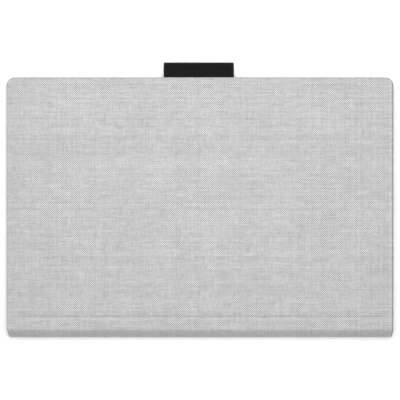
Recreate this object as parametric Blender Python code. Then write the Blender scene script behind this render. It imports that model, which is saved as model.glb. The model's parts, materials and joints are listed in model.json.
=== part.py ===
"""A tablet keyboard case, closed and lying on its back.

Metres, +Z up.  The case rests on z = 0 with its keyboard cover on top and its keys facing
down onto the tablet bay.  +X runs along the width, the soft spine is at -Y and the pen loop
at +Y.  The origin is the middle of the whole outline, on the surface that the case lies on.
"""
import math

import bmesh
import bpy
from mathutils import Matrix

# the tablet that the case is cut for
tablet_width = 0.2450
tablet_depth = 0.1600
tablet_thickness = 0.0070
bay_clearance = 0.0003        # round the tablet's edge

# layers, from the table up
fabric = 0.0006
bond = 0.0001                 # glue line between two layers
rear_board = 0.0014
tray_floor = 0.0011
lining_sheet = 0.0002
lip_gap = 0.0001              # over the tablet's glass
lip = 0.0004
cover_gap = 0.0003            # between the tray's rim and the closed keyboard
deck = 0.0009
key_proud = 0.0005            # keycaps stand this far out of the deck
key_web = 0.0004
key_travel = 0.0012
dome_room = 0.0003            # what is left under a key that is fully down
dome_sheet = 0.0002
membrane = 0.0003
base_floor = 0.0008
stiffener = 0.0004

# outlines
tray_wall = 0.0022
corner_radius = 0.0055
spine_standoff = 0.0036       # from the tray's lower wall to the outside of the spine
lip_leg = 0.0080              # the corner lips are triangles of this leg
cover_inset = 0.0008          # keyboard shell, inside the edge of its fabric

# soft spine
spine_cable = 0.0002
spine_lining = 0.0004
strip_gap = 0.0006            # between two strips of the spine, at the fold lines
rear_arc = math.radians(30)   # the share of the half circle that stays with each flat side
crease_inset = 0.0145         # from the outside of the spine to the crease
crease_gap = 0.0012
crease_lift = 0.00015         # the fold line is this far above the fabric
anchor_depth = 0.0142         # flat part of the spine that is glued under the tray

# kickstand and its friction hinges
kick_fold_y = 0.0030
kick_groove = 0.0026
kick_side_gap = 0.0013
barrel_radius = 0.00095
pin_radius = 0.00045
pin_clearance = 0.00012
hinge_inset = 0.0400          # from the end of the fold to the middle of a hinge
hinge_length = 0.0300
hinge_leaf = 0.0008
leaf_reach = 0.0090
hinge_pocket_gap = 0.0003
knuckle_gap = 0.0003
magnet_radius = 0.0060
magnet_thickness = 0.0010
keeper_size = (0.0260, 0.0100)
keeper_thickness = 0.0004
keeper_inset = 0.0093         # from the kickstand's lower edge

# pen loop
loop_width = 0.0455
loop_reach = 0.0100
loop_band = 0.0010
loop_x = -0.0008
loop_tongue = 0.0080
loop_gap = 0.0003

# openings in the tray
camera_length = 0.0240
camera_width = 0.0120
camera_from_side = 0.0210
camera_from_top = 0.0120
port_notch = 0.0160
button_notch = 0.0440
button_from_side = 0.0400
notch_sill = 0.0012           # wall left standing over the tray's floor in a notch

# pogo connector in the tray's lower wall
pogo_width = 0.0240
pogo_height = 0.0040
pogo_pitch = 0.0060
pogo_pin_radius = 0.0006
pogo_bore_clearance = 0.0002
pogo_proud = 0.0007
pogo_travel = 0.0005

# keyboard
columns = 14
full_rows = 5
function_pitch_y = 0.0100
key_side_margin = 0.0052      # from the end of the deck to the first column
key_gap = 0.0026
key_clearance = 0.0003        # all round a keycap, in its window
web_flange = 0.0005
key_margin = 0.0078           # from the crease side of the deck to the first row
dome_radius = 0.0022
base_wall = 0.0010
base_corner = corner_radius - cover_inset

touchpad_width = 0.0900
touchpad_depth = 0.0380
touchpad_below_keys = 0.0050
palm_edge = 0.0061            # from the touchpad to the edge of the deck
touchpad_thickness = 0.0010
touchpad_sink = 0.0001        # below the face of the deck
touchpad_clearance = 0.0003
click_angle = math.radians(0.6)
switch_size = 0.0060
board_size = (0.0440, 0.0140)
board_thickness = 0.0010
cover_magnet_size = (0.0240, 0.0050)
cover_magnet_thickness = 0.0012
lens_size = (0.0030, 0.0010)
part_gap = 0.0003             # round a piece that is seated in a pocket

# ---- heights that follow from the layers
board_low = fabric + bond
board_high = board_low + rear_board
tray_low = board_high + bond
tray_floor_top = tray_low + tray_floor
lining_low = tray_floor_top + bond
bay_low = lining_low + lining_sheet
glass = bay_low + tablet_thickness
lip_low = glass + lip_gap
tray_top = lip_low + lip
deck_face = tray_top + cover_gap
key_face = deck_face - key_proud
deck_back = deck_face + deck
web_low = deck_back + bond
web_high = web_low + key_web
dome_low = web_high + bond
dome_high = web_high + key_travel + dome_room
dome_back = dome_high + dome_sheet
membrane_low = dome_back + bond
membrane_high = membrane_low + membrane
base_low = deck_back + bond
base_inside = membrane_high + bond
base_high = base_inside + base_floor
stiffener_low = base_high + bond
stiffener_high = stiffener_low + stiffener
cover_fabric_low = stiffener_high + bond
thickness = cover_fabric_low + fabric

# ---- outlines that follow from the tablet
bay_width = tablet_width + 2 * bay_clearance
bay_depth = tablet_depth + 2 * bay_clearance
width = bay_width + 2 * tray_wall
case_depth = bay_depth + 2 * tray_wall + spine_standoff
half_width = width / 2
spine_y = -(case_depth + loop_reach) / 2
top_y = spine_y + case_depth
bay_top_y = top_y - tray_wall
bay_bottom_y = bay_top_y - bay_depth
tray_bottom_y = bay_bottom_y - tray_wall

spine_radius = thickness / 2
spine_middle_radius = spine_radius - fabric / 2
spine_centre_y = spine_y + spine_radius
crease_y = spine_y + crease_inset
crease_z = thickness + crease_lift
anchor_y = spine_centre_y + anchor_depth

kick_top_y = kick_fold_y - kick_groove / 2
kick_axis_z = board_low + barrel_radius - (fabric - 0.0001)
upper_low_y = kick_fold_y + kick_groove / 2
kick_bottom_y = anchor_y + kick_side_gap
keeper_y = kick_bottom_y + keeper_inset
hinge_x = half_width - hinge_inset
camera_x = camera_from_side - half_width
button_x = half_width - button_from_side

cover_low_y = crease_y + crease_gap / 2
base_low_y = cover_low_y + cover_inset
base_top_y = top_y - cover_inset
base_half = half_width - cover_inset
keys_half = base_half - key_side_margin
key_pitch_x = 2 * keys_half / columns
keys_low_y = base_low_y + key_margin
touchpad_high_y = base_top_y - palm_edge
touchpad_low_y = touchpad_high_y - touchpad_depth
keys_high_y = touchpad_low_y - touchpad_below_keys
key_pitch_y = (keys_high_y - keys_low_y - function_pitch_y) / full_rows

colours = {
    "grey_weave": ((0.58, 0.58, 0.57), 0.9, 0.0),
    "lining_grey": ((0.20, 0.20, 0.21), 0.9, 0.0),
    "board_black": ((0.04, 0.04, 0.045), 0.6, 0.0),
    "tray_grey": ((0.30, 0.30, 0.31), 0.5, 0.0),
    "key_grey": ((0.26, 0.26, 0.27), 0.5, 0.0),
    "deck_grey": ((0.36, 0.36, 0.37), 0.55, 0.0),
    "steel": ((0.55, 0.55, 0.56), 0.3, 1.0),
    "kick_alloy": ((0.60, 0.60, 0.61), 0.4, 1.0),
    "gold": ((0.80, 0.62, 0.30), 0.25, 1.0),
    "film": ((0.62, 0.64, 0.60), 0.35, 0.0),
    "rubber": ((0.75, 0.75, 0.72), 0.6, 0.0),
    "loop_black": ((0.015, 0.015, 0.016), 0.8, 0.0),
    "board_green": ((0.03, 0.16, 0.08), 0.45, 0.0),
    "cable_amber": ((0.45, 0.22, 0.05), 0.4, 0.0),
    "lens_white": ((0.80, 0.82, 0.84), 0.2, 0.0),
}


def material(name):
    """The Principled material of one finish, made once."""
    found = bpy.data.materials.get(name)
    if found:
        return found
    colour, roughness, metallic = colours[name]
    made = bpy.data.materials.new(name)
    made.use_nodes = True
    shader = made.node_tree.nodes["Principled BSDF"]
    shader.inputs["Base Color"].default_value = (*colour, 1.0)
    shader.inputs["Roughness"].default_value = roughness
    shader.inputs["Metallic"].default_value = metallic
    return made


def add_object(name, mesh, finish, parent=None):
    """Link a mesh as one named object; under a parent, the mesh is given in world metres."""
    made = bpy.data.objects.new(name, mesh)
    bpy.context.scene.collection.objects.link(made)
    made.data.materials.append(material(finish))
    if parent:
        made.parent = parent
        made.matrix_parent_inverse = Matrix.Translation(-parent.location)
    return made


def axis_empty(name, y, z):
    """An empty on a fold line that runs along X."""
    made = bpy.data.objects.new(name, None)
    made.location = (0.0, y, z)
    made.empty_display_size = 0.01
    bpy.context.scene.collection.objects.link(made)
    return made


def add_prism(bm, outline, low, high, along="z"):
    """Extrude a counter-clockwise outline from low to high, along Z or along X."""
    def place(u, v, height):
        return (u, v, height) if along == "z" else (height, u, v)
    floor = [bm.verts.new(place(u, v, low)) for u, v in outline]
    roof = [bm.verts.new(place(u, v, high)) for u, v in outline]
    count = len(outline)
    bm.faces.new(reversed(floor))
    bm.faces.new(roof)
    for i in range(count):
        j = (i + 1) % count
        bm.faces.new((floor[i], floor[j], roof[j], roof[i]))


def prism_mesh(name, *shapes):
    """A mesh of one or more prisms, each (outline, low, high, along)."""
    bm = bmesh.new()
    for outline, low, high, along in shapes:
        add_prism(bm, outline, low, high, along)
    mesh = bpy.data.meshes.new(name)
    bm.to_mesh(mesh)
    bm.free()
    return mesh


def plate(name, outline, low, high, finish, parent=None):
    return add_object(name, prism_mesh(name, (outline, low, high, "z")), finish, parent)


def rectangle(x0, y0, x1, y1):
    return [(x0, y0), (x1, y0), (x1, y1), (x0, y1)]


def rounded(x0, y0, x1, y1, radii, steps=6):
    """A rectangle with its own radius at each corner: low left, low right, top right, top left."""
    corners = (((x0, y0), (1, 1), 180), ((x1, y0), (-1, 1), 270),
               ((x1, y1), (-1, -1), 0), ((x0, y1), (1, -1), 90))
    outline = []
    for ((x, y), (side_x, side_y), start), radius in zip(corners, radii):
        if radius <= 0:
            outline.append((x, y))
            continue
        for step in range(steps + 1):
            turn = math.radians(start + 90 * step / steps)
            outline.append((x + side_x * radius + radius * math.cos(turn),
                            y + side_y * radius + radius * math.sin(turn)))
    return outline


def circle(u, v, radius, sides):
    return [(u + radius * math.cos(2 * math.pi * i / sides),
             v + radius * math.sin(2 * math.pi * i / sides)) for i in range(sides)]


def spine_point(turn, radius):
    """A point of the spine's half circle: turn 0 is at the table, half a turn at the top."""
    return (spine_centre_y - radius * math.sin(turn), spine_radius - radius * math.cos(turn))


def spine_profile(start, end, outer, inner, flat_low=0.0, flat_high=0.0):
    """A strip of the spine between two turns, with an optional flat tail at either side."""
    steps = max(2, round(math.degrees(end - start) / 7.5))
    turns = [start + (end - start) * i / steps for i in range(steps + 1)]
    outside = [spine_point(turn, outer) for turn in turns]
    inside = [spine_point(turn, inner) for turn in turns]
    if flat_low:
        outside.insert(0, (flat_low, spine_radius - outer))
        inside.insert(0, (flat_low, spine_radius - inner))
    if flat_high:
        outside.append((flat_high, spine_radius + outer))
        inside.append((flat_high, spine_radius + inner))
    return inside + outside[::-1]


def cut(target, name, *shapes):
    """Take prisms out of an object, with a cutter that isn't part of the model."""
    cutter = bpy.data.objects.new(name, prism_mesh(name, *shapes))
    bpy.context.scene.collection.objects.link(cutter)
    cutter.hide_render = True
    cutter.display_type = "WIRE"
    taken = target.modifiers.new(name, "BOOLEAN")
    taken.operation = "DIFFERENCE"
    taken.solver = "EXACT"
    taken.object = cutter


def fuse(target, name, *shapes):
    """Add prisms to an object."""
    extra = bpy.data.objects.new(name, prism_mesh(name, *shapes))
    bpy.context.scene.collection.objects.link(extra)
    extra.hide_render = True
    extra.display_type = "WIRE"
    joined = target.modifiers.new(name, "BOOLEAN")
    joined.operation = "UNION"
    joined.solver = "EXACT"
    joined.object = extra


def smooth(target, degrees=30):
    target.data.shade_smooth()
    target.data.set_sharp_from_angle(angle=math.radians(degrees))


# ---- keyboard layout
def key_rows():
    """Every keycap as (node, x0, y0, x1, y1), left to right and from the spine outwards."""
    caps = []

    def row(y0, y1, keys):
        x = -keys_half
        for node, units in keys:
            if node:
                caps.append((node, x + key_gap / 2, y0 + key_gap / 2,
                             x + units * key_pitch_x - key_gap / 2, y1 - key_gap / 2))
            x += units * key_pitch_x

    y = keys_low_y
    row(y, y + function_pitch_y, [("keys_function", 1)] * columns)
    y += function_pitch_y
    row(y, y + key_pitch_y, [("keys_number", 1)] * 13 + [("key_backspace", 1)])
    y += key_pitch_y
    row(y, y + key_pitch_y, [("key_tab", 1.25)] + [("keys_upper", 1)] * 12 + [("keys_upper", 0.75)])
    y += key_pitch_y
    row(y, y + key_pitch_y, [("key_caps", 1.5)] + [("keys_home", 1)] * 11 + [("key_enter", 1.5)])
    y += key_pitch_y
    row(y, y + key_pitch_y, [("key_shift_left", 2)] + [("keys_lower", 1)] * 10
        + [("key_shift_right", 2)])
    y += key_pitch_y
    row(y, y + key_pitch_y, [("keys_bottom_left", 1)] * 4 + [("key_space", 5)]
        + [("keys_bottom_right", 1)] * 2)
    middle = y + key_pitch_y / 2
    row(middle, y + key_pitch_y, [(None, 11), ("keys_arrow", 1), ("keys_arrow", 1), ("keys_arrow", 1)])
    row(y, middle, [(None, 12), ("keys_arrow", 1)])
    return caps


def stepped_plate(name, outline_box, raised):
    """A flat plate whose raised rectangles stand out of its lower face.

    The plate is divided along every edge of a raised rectangle, so that each cell is either
    web or cap, and a wall stands where the two meet.
    """
    x0, y0, x1, y1 = outline_box
    xs = sorted({x0, x1} | {x for cap in raised for x in (cap[0], cap[2])})
    ys = sorted({y0, y1} | {y for cap in raised for y in (cap[1], cap[3])})

    def is_cap(i, j):
        if not (0 <= i < len(xs) - 1 and 0 <= j < len(ys) - 1):
            return None
        x = (xs[i] + xs[i + 1]) / 2
        y = (ys[j] + ys[j + 1]) / 2
        return any(c[0] < x < c[2] and c[1] < y < c[3] for c in raised)

    bm = bmesh.new()
    points = {}

    def vertex(x, y, z):
        key = (x, y, z)
        if key not in points:
            points[key] = bm.verts.new(key)
        return points[key]

    rim = []
    for i in range(len(xs) - 1):
        for j in range(len(ys) - 1):
            left, right, low, high = xs[i], xs[i + 1], ys[j], ys[j + 1]
            z = key_face if is_cap(i, j) else web_low
            bm.faces.new([vertex(left, low, z), vertex(left, high, z),
                          vertex(right, high, z), vertex(right, low, z)])
            edges = (((i, j - 1), (left, low), (right, low)), ((i + 1, j), (right, low), (right, high)),
                     ((i, j + 1), (right, high), (left, high)), ((i - 1, j), (left, high), (left, low)))
            for (a, b), first, second in edges:
                beside = is_cap(a, b)
                if beside is None:
                    rim.append((first, second))
                    bm.faces.new([vertex(*first, web_low), vertex(*second, web_low),
                                  vertex(*second, web_high), vertex(*first, web_high)])
                elif is_cap(i, j) and not beside:
                    bm.faces.new([vertex(*first, key_face), vertex(*second, key_face),
                                  vertex(*second, web_low), vertex(*first, web_low)])
    following = dict(rim)
    start = rim[0][0]
    loop = [start]
    while following[loop[-1]] != start:
        loop.append(following[loop[-1]])
    bm.faces.new([vertex(x, y, web_high) for x, y in loop])
    mesh = bpy.data.meshes.new(name)
    bm.to_mesh(mesh)
    bm.free()
    return mesh


# ---- the back: fabric, boards, tray
def camera_outline():
    y = top_y - camera_from_top
    half = camera_width / 2
    return rounded(camera_x - camera_length / 2, y - half, camera_x + camera_length / 2, y + half,
                   [half * 0.98] * 4, 5)


def hinge_pockets(y_board, side):
    """Notches in a board's edge at the fold, one for each hinge, from left to right."""
    reach = leaf_reach + hinge_pocket_gap
    half = hinge_length / 2 + hinge_pocket_gap
    points = []
    for x in (-hinge_x, hinge_x):
        points += [(x - half, y_board), (x - half, y_board + side * reach),
                   (x + half, y_board + side * reach), (x + half, y_board)]
    return points


def build_back():
    corner = [0, 0, corner_radius, corner_radius]
    upper = rounded(-half_width, upper_low_y, half_width, top_y, corner)
    skin = plate("rear_fabric_upper", upper, 0.0, fabric, "grey_weave")
    cut(skin, "camera_cut_fabric", (camera_outline(), -fabric, 2 * fabric, "z"))

    inset = cover_inset
    board = rounded(-half_width + inset, upper_low_y, half_width - inset, top_y - inset,
                    [0, 0, base_corner, base_corner])
    board = board[:1] + hinge_pockets(upper_low_y, 1) + board[1:]
    stiff = plate("rear_board_upper", board, board_low, board_high, "board_black")
    cut(stiff, "camera_cut_board", (camera_outline(), 0.0, 2 * board_high, "z"))

    plate("spine_anchor_strip",
          rectangle(-half_width + inset, spine_centre_y, half_width - inset, anchor_y - inset),
          board_low, board_high, "board_black")
    profile = spine_profile(0.0, rear_arc - strip_gap / 2 / spine_middle_radius,
                            spine_radius, spine_radius - fabric, flat_low=anchor_y)
    add_object("spine_fabric_rear",
               prism_mesh("spine_fabric_rear", (profile, -half_width, half_width, "x")), "grey_weave")


def build_tray():
    corner = [corner_radius * 0.4, corner_radius * 0.4, corner_radius, corner_radius]
    tray = plate("tray_shell", rounded(-half_width, tray_bottom_y, half_width, top_y, corner),
                 tray_low, tray_top, "tray_grey")
    bay_x = bay_width / 2
    inner = corner_radius - tray_wall
    bay = rounded(-bay_x, bay_bottom_y, bay_x, bay_top_y, [inner * 0.3, inner * 0.3, inner, inner], 4)
    mouth = [(-bay_x + lip_leg, bay_bottom_y), (bay_x - lip_leg, bay_bottom_y),
             (bay_x, bay_bottom_y + lip_leg), (bay_x, bay_top_y - lip_leg),
             (bay_x - lip_leg, bay_top_y), (-bay_x + lip_leg, bay_top_y),
             (-bay_x, bay_top_y - lip_leg), (-bay_x, bay_bottom_y + lip_leg)]
    cut(tray, "bay_cut", (bay, tray_floor_top, lip_low, "z"))
    cut(tray, "mouth_cut", (mouth, lip_low - lip_gap, tray_top + lip, "z"))
    heel = [(tray_bottom_y - tray_wall, tray_low - tray_floor), (bay_bottom_y + bond, tray_low),
            (tray_bottom_y, bay_low + bay_clearance),
            (tray_bottom_y - tray_wall, bay_low + bay_clearance)]
    cut(tray, "heel_cut", (heel, -width, width, "x"))

    sill = tray_floor_top + notch_sill
    above = tray_top + lip
    side = (rectangle(bay_x - tray_wall, -port_notch / 2, half_width + tray_wall, port_notch / 2),
            sill, above, "z")
    button = (rectangle(button_x - button_notch / 2, bay_top_y - tray_wall,
                        button_x + button_notch / 2, top_y + tray_wall), sill, above, "z")
    pogo_x = pogo_width / 2 + part_gap
    pogo_z = (bay_low + glass) / 2
    pogo_half = pogo_height / 2 + part_gap
    pogo = (rectangle(-pogo_x, tray_bottom_y - tray_wall, pogo_x, bay_bottom_y + tray_wall),
            pogo_z - pogo_half, pogo_z + pogo_half, "z")
    camera = (camera_outline(), 0.0, bay_low, "z")
    keeper_x = keeper_size[0] / 2 + part_gap
    keeper_half = keeper_size[1] / 2 + part_gap
    keeper = (rectangle(-keeper_x, keeper_y - keeper_half, keeper_x, keeper_y + keeper_half),
              tray_low - bond, tray_low + bond + keeper_thickness, "z")
    cut(tray, "tray_openings", side, button, pogo, camera, keeper)

    margin = part_gap
    lining = plate("tray_lining",
                   rounded(-bay_x + margin, bay_bottom_y + margin, bay_x - margin, bay_top_y - margin,
                           [inner] * 4, 4), lining_low, bay_low, "lining_grey")
    cut(lining, "camera_cut_lining", (camera_outline(), 0.0, glass, "z"))
    plate("kickstand_keeper",
          rectangle(-keeper_size[0] / 2, keeper_y - keeper_size[1] / 2,
                    keeper_size[0] / 2, keeper_y + keeper_size[1] / 2),
          tray_low, tray_low + keeper_thickness, "steel")
    build_pogo(pogo_z)


def build_pogo(middle_z):
    half = pogo_width / 2
    low = middle_z - pogo_height / 2
    housing = plate("pogo_housing",
                    rectangle(-half, tray_bottom_y + part_gap, half, bay_bottom_y - part_gap),
                    low, low + pogo_height, "board_black")
    bore = pogo_pin_radius + pogo_bore_clearance
    places = [(number - 1) * pogo_pitch for number in range(3)]
    bores = bmesh.new()
    for x in places:
        turn = Matrix.Translation((x, (tray_bottom_y + bay_bottom_y) / 2, middle_z))
        bmesh.ops.create_cone(bores, cap_ends=True, segments=12, radius1=bore, radius2=bore,
                              depth=2 * tray_wall, matrix=turn @ Matrix.Rotation(math.pi / 2, 4, "X"))
    mesh = bpy.data.meshes.new("pogo_bores")
    bores.to_mesh(mesh)
    bores.free()
    cutter = bpy.data.objects.new("pogo_bores", mesh)
    bpy.context.scene.collection.objects.link(cutter)
    cutter.hide_render = True
    cutter.display_type = "WIRE"
    taken = housing.modifiers.new("bores", "BOOLEAN")
    taken.operation = "DIFFERENCE"
    taken.object = cutter

    front = bay_bottom_y + pogo_proud
    back = tray_bottom_y + pogo_travel
    for number, x in enumerate(places, 1):
        bm = bmesh.new()
        bmesh.ops.create_cone(bm, cap_ends=True, segments=12, radius1=pogo_pin_radius,
                              radius2=pogo_pin_radius, depth=front - back,
                              matrix=Matrix.Rotation(math.pi / 2, 4, "X"))
        bevelled = [e for e in bm.edges if all(v.co.y > 0 for v in e.verts)]
        bmesh.ops.bevel(bm, geom=bevelled, offset=pogo_pin_radius * 0.4, segments=2,
                        affect="EDGES", profile=0.5)
        mesh = bpy.data.meshes.new("pogo_pin")
        bm.to_mesh(mesh)
        bm.free()
        pin = add_object(f"pogo_pin_{number}", mesh, "gold")
        pin.location = (x, (front + back) / 2, middle_z)
        smooth(pin)


# ---- kickstand
def knuckle_spans(fixed):
    """The three knuckles of a hinge along X: the outer two are fixed, the middle one turns."""
    third = hinge_length / 3
    edges = [-hinge_length / 2, -third / 2, third / 2, hinge_length / 2]
    if fixed:
        return [(edges[0], edges[1] - knuckle_gap / 2), (edges[2] + knuckle_gap / 2, edges[3])]
    return [(edges[1] + knuckle_gap / 2, edges[2] - knuckle_gap / 2)]


def hinge_leaf_object(name, x, fixed, parent=None):
    """One leaf with its knuckles, round the pin on the kickstand's fold line."""
    side = 1 if fixed else -1
    edge = kick_groove / 2
    z = kick_axis_z
    low, high = z - hinge_leaf / 2, z + hinge_leaf / 2
    half = hinge_length / 2
    ends = sorted((kick_fold_y + side * edge, kick_fold_y + side * (edge + leaf_reach)))
    leaf = plate(name, rectangle(x - half, ends[0], x + half, ends[1]), low, high, "steel", parent)
    web_ends = sorted((kick_fold_y + side * (barrel_radius * 0.6), kick_fold_y + side * (edge + bond)))
    barrels = []
    webs = []
    for start, end in knuckle_spans(fixed):
        barrels.append((circle(kick_fold_y, z, barrel_radius, 16), x + start, x + end, "x"))
        webs.append((rectangle(x + start, web_ends[0], x + end, web_ends[1]),
                     low + bond, high - bond, "z"))
    fuse(leaf, name + "_webs", *webs)
    fuse(leaf, name + "_barrels", *barrels)
    cut(leaf, name + "_bore",
        (circle(kick_fold_y, z, pin_radius + pin_clearance, 16), x - hinge_length, x + hinge_length, "x"))
    return leaf


def build_kickstand():
    fold = axis_empty("kickstand_fold", kick_fold_y, kick_axis_z)
    plate("kickstand_fabric", rectangle(-half_width, kick_bottom_y, half_width, kick_top_y),
          0.0, fabric, "grey_weave", fold)
    inset = cover_inset
    outline = rectangle(-half_width + inset, kick_bottom_y + inset, half_width - inset, kick_top_y)
    outline = outline[:3] + hinge_pockets(kick_top_y, -1)[::-1] + outline[3:]
    stand = plate("kickstand_plate", outline, board_low, board_high, "kick_alloy", fold)
    magnet_low = board_high - bond - magnet_thickness
    cut(stand, "magnet_cut", (circle(0.0, keeper_y, magnet_radius + part_gap, 24),
                              magnet_low - bond, board_high + bond, "z"))
    magnet = plate("kickstand_magnet", circle(0.0, keeper_y, magnet_radius, 24),
                   magnet_low, board_high - bond, "steel", fold)
    smooth(magnet)
    for name, x in (("left", -hinge_x), ("right", hinge_x)):
        hinge_leaf_object(f"hinge_leaf_fixed_{name}", x, True)
        hinge_leaf_object(f"hinge_leaf_moving_{name}", x, False, fold)
        half = hinge_length / 2
        pin = add_object(f"hinge_pin_{name}",
                         prism_mesh("hinge_pin", (circle(kick_fold_y, kick_axis_z, pin_radius, 16),
                                                  x - half, x + half, "x")), "steel")
        smooth(pin)


# ---- soft spine
def build_spine():
    half_gap = strip_gap / 2 / spine_middle_radius
    turns = [rear_arc, math.pi / 2, math.pi - rear_arc]
    cable_outer = spine_radius - fabric - bond
    lining_outer = cable_outer - spine_cable - bond
    layers = (("spine_fabric", spine_radius, spine_radius - fabric, half_width, "grey_weave"),
              ("flex_cable", cable_outer, cable_outer - spine_cable, pogo_width / 2, "cable_amber"),
              ("spine_lining", lining_outer, lining_outer - spine_lining,
               half_width - cover_inset, "lining_grey"))
    flat_end = crease_y - crease_gap / 2
    spans = (("a", turns[0] + half_gap, turns[1] - half_gap, 0.0, turns[0]),
             ("b", turns[1] + half_gap, turns[2] - half_gap, 0.0, turns[1]),
             ("c", turns[2] + half_gap, math.pi, flat_end, turns[2]))
    for letter, start, end, flat, turn in spans:
        fold = axis_empty(f"spine_fold_{letter}", *spine_point(turn, spine_middle_radius))
        for layer, outer, inner, half, finish in layers:
            profile = spine_profile(start, end, outer, inner, flat_high=flat)
            name = f"{layer}_{letter}"
            made = add_object(name, prism_mesh(name, (profile, -half, half, "x")), finish, fold)
            smooth(made)


# ---- the keyboard cover
def build_cover():
    crease = axis_empty("cover_crease", crease_y, crease_z)
    corner = [0, 0, corner_radius, corner_radius]
    skin = plate("front_fabric", rounded(-half_width, cover_low_y, half_width, top_y, corner),
                 base_low + bond, thickness, "grey_weave", crease)
    inner = [0, 0, corner_radius - fabric, corner_radius - fabric]
    pocket = rounded(-half_width + fabric, cover_low_y - fabric, half_width - fabric, top_y - fabric,
                     inner)
    cut(skin, "cover_pocket", (pocket, base_low - fabric, cover_fabric_low, "z"))
    loop_half = loop_width / 2 + loop_gap
    slot = (rectangle(loop_x - loop_half, top_y - 2 * fabric, loop_x + loop_half, top_y + fabric),
            base_low - fabric, cover_fabric_low, "z")
    cut(skin, "loop_slot", slot)

    outline = rounded(-base_half, base_low_y, base_half, base_top_y,
                      [0.001, 0.001, base_corner, base_corner])
    tongue_y = base_top_y - loop_tongue - loop_gap
    board = plate("front_stiffener", outline, stiffener_low, stiffener_high, "board_black", crease)
    cut(board, "tongue_notch",
        (rectangle(loop_x - loop_half, tongue_y, loop_x + loop_half, top_y), base_high, thickness, "z"))

    base = plate("keyboard_base", outline, base_low, base_high, "tray_grey", crease)
    wall = base_wall
    room = rounded(-base_half + wall, base_low_y + wall, base_half - wall, base_top_y - wall,
                   [0.0005, 0.0005, base_corner - wall, base_corner - wall])
    cut(base, "base_room", (room, base_low - wall, base_inside, "z"))

    caps = key_rows()
    grow = key_clearance
    windows = [(rectangle(x0 - grow, y0 - grow, x1 + grow, y1 + grow), deck_face - deck,
                deck_back + deck, "z") for _, x0, y0, x1, y1 in caps]
    pad = touchpad_clearance
    half_pad = touchpad_width / 2
    windows.append((rectangle(-half_pad - pad, touchpad_low_y - pad, half_pad + pad,
                              touchpad_high_y + pad), deck_face - deck, deck_back + deck, "z"))
    lens_x = keys_half - key_pitch_x / 2
    lens_y = (base_low_y + keys_low_y) / 2
    lens_half = (lens_size[0] / 2, lens_size[1] / 2)
    hole = [lens_half[0] + bond, lens_half[1] + bond]
    windows.append((rectangle(lens_x - hole[0], lens_y - hole[1], lens_x + hole[0], lens_y + hole[1]),
                    deck_face - deck, deck_back + deck, "z"))
    top = plate("deck_frame", outline, deck_face, deck_back, "deck_grey", crease)
    cut(top, "key_windows", *windows)
    plate("indicator_lens", rectangle(lens_x - lens_half[0], lens_y - lens_half[1],
                                      lens_x + lens_half[0], lens_y + lens_half[1]),
          deck_face + bond, deck_back, "lens_white", crease)

    build_keys(caps, crease)
    build_inside(caps, crease)
    build_touchpad(crease)
    build_pen_loop(crease)


def build_keys(caps, crease):
    groups = {}
    for node, *box in caps:
        groups.setdefault(node, []).append(box)
    flange = web_flange
    for node, boxes in groups.items():
        outline = (min(b[0] for b in boxes) - flange, min(b[1] for b in boxes) - flange,
                   max(b[2] for b in boxes) + flange, max(b[3] for b in boxes) + flange)
        add_object(node, stepped_plate(node, outline, boxes), "key_grey", crease)


def build_inside(caps, crease):
    """The switch layers under the keys, and the electronics beside the touchpad."""
    edge = base_half - base_wall - part_gap
    low = keys_low_y - web_flange
    outline = rectangle(-edge, low, edge, keys_high_y + web_flange)
    plate("key_membrane", outline, membrane_low, membrane_high, "film", crease)
    sheet = plate("dome_sheet", outline, dome_high, dome_back, "rubber", crease)
    bm = bmesh.new()
    depth = dome_high + bond - dome_low
    for _, x0, y0, x1, y1 in caps:
        place = Matrix.Translation(((x0 + x1) / 2, (y0 + y1) / 2, dome_low + depth / 2))
        bmesh.ops.create_cone(bm, cap_ends=True, segments=6, radius1=dome_radius * 0.5,
                              radius2=dome_radius, depth=depth, matrix=place)
    mesh = bpy.data.meshes.new("domes")
    bm.to_mesh(mesh)
    bm.free()
    domes = bpy.data.objects.new("domes", mesh)
    bpy.context.scene.collection.objects.link(domes)
    domes.hide_render = True
    domes.display_type = "WIRE"
    joined = sheet.modifiers.new("domes", "BOOLEAN")
    joined.operation = "UNION"
    joined.object = domes

    board_x = -(touchpad_width + board_size[0]) / 2 - 4 * base_wall
    board_y = keys_high_y + web_flange + 2 * base_wall + board_size[1] / 2
    half = (board_size[0] / 2, board_size[1] / 2)
    plate("controller_board", rectangle(board_x - half[0], board_y - half[1],
                                        board_x + half[0], board_y + half[1]),
          base_inside - bond - board_thickness, base_inside - bond, "board_green", crease)
    magnet = (cover_magnet_size[0] / 2, cover_magnet_size[1] / 2)
    magnet_y = base_top_y - base_wall - part_gap - magnet[1]
    for name, side in (("left", -1), ("right", 1)):
        x = side * (base_half - corner_radius - cover_magnet_size[0] / 2)
        plate(f"cover_magnet_{name}",
              rectangle(x - magnet[0], magnet_y - magnet[1], x + magnet[0], magnet_y + magnet[1]),
              base_low, base_low + cover_magnet_thickness, "steel", crease)


def build_touchpad(crease):
    low = deck_face + touchpad_sink
    hinge = axis_empty("touchpad_hinge", touchpad_low_y, low + touchpad_thickness / 2)
    half = touchpad_width / 2
    plate("touchpad", rounded(-half, touchpad_low_y, half, touchpad_high_y, [0.002] * 4, 3),
          low, low + touchpad_thickness, "deck_grey", hinge)
    travel = touchpad_depth * math.sin(click_angle)
    switch_low = low + touchpad_thickness + travel + bond
    side = switch_size / 2
    y = touchpad_high_y - touchpad_clearance - switch_size
    plate("touchpad_switch", rectangle(-side, y - side, side, y + side),
          switch_low, base_inside - bond, "board_black", crease)


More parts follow.
